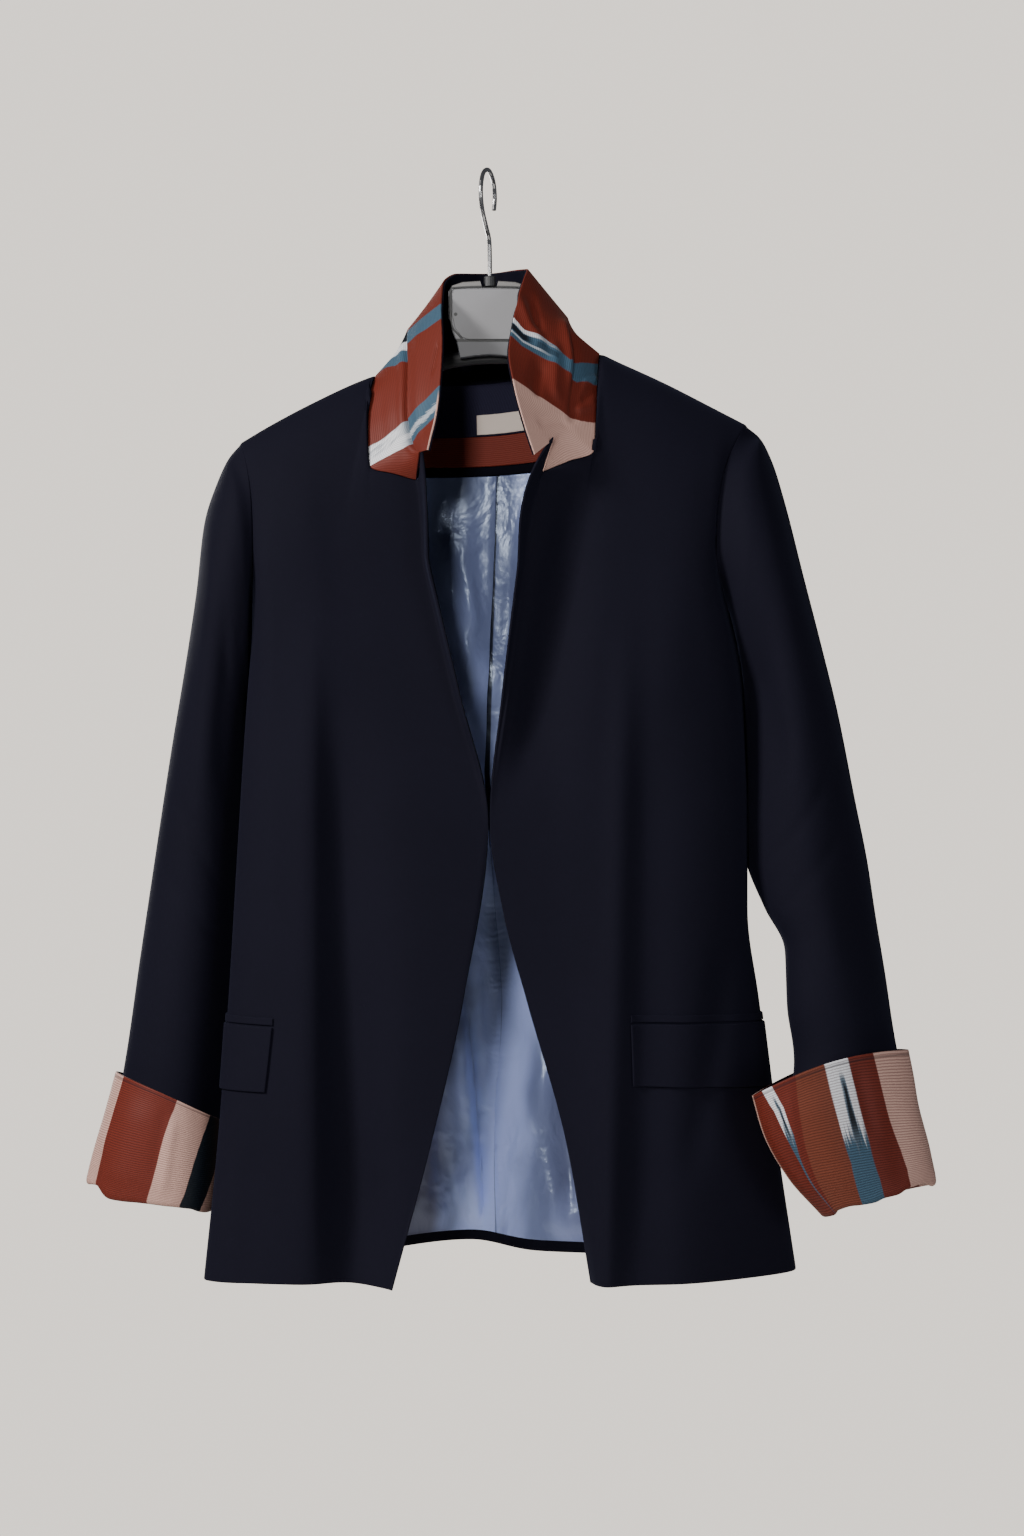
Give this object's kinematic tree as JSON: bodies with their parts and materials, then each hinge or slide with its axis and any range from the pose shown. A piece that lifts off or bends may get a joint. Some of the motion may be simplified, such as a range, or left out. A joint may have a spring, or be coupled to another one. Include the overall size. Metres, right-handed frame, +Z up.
{
  "type": "blazer on a hanger",
  "caption": "Open-front women's blazer with a stand-up striped collar, turned-back striped cuffs, flap pockets and satin lining, hung on a hanger with a swivel hook.",
  "frame": {"origin": "the hanger hook's inner top, where it bears on a rod", "axes": "+Z up, +X to the wearer's left, +Y to the wearer's back"},
  "size_m": [0.6666, 0.2382, 0.8746],
  "materials": {
    "navy_cloth": "matt fine twill",
    "striped_cloth": "ribbed brick cloth with white, pink and blue ikat stripes",
    "brick_cloth": "ribbed",
    "satin": "satin sheen",
    "label_tape": "smooth tape",
    "chrome_wire": "polished",
    "grey_plastic": "satin",
    "dark_plastic": "satin"
  },
  "bodies": {
    "root": {"back": "navy_cloth", "front_right": "navy_cloth", "front_left": "navy_cloth", "sleeve_right": "navy_cloth", "sleeve_left": "navy_cloth", "cuff_right": "striped_cloth", "cuff_left": "striped_cloth", "collar_under": "striped_cloth", "collar_top": "navy_cloth", "facing_right": "navy_cloth", "facing_left": "navy_cloth", "neck_facing": "navy_cloth", "neck_band": "brick_cloth", "neck_edging": "navy_cloth", "label": "label_tape", "lining_right": "satin", "lining_left": "satin", "flap_right": "navy_cloth", "flap_left": "navy_cloth", "welt_right": "navy_cloth", "welt_left": "navy_cloth", "hanger_hook": "chrome_wire", "hanger_ferrule": "chrome_wire", "hanger_plate": "grey_plastic", "hanger_arms": "dark_plastic"}
  },
  "joints": []
}
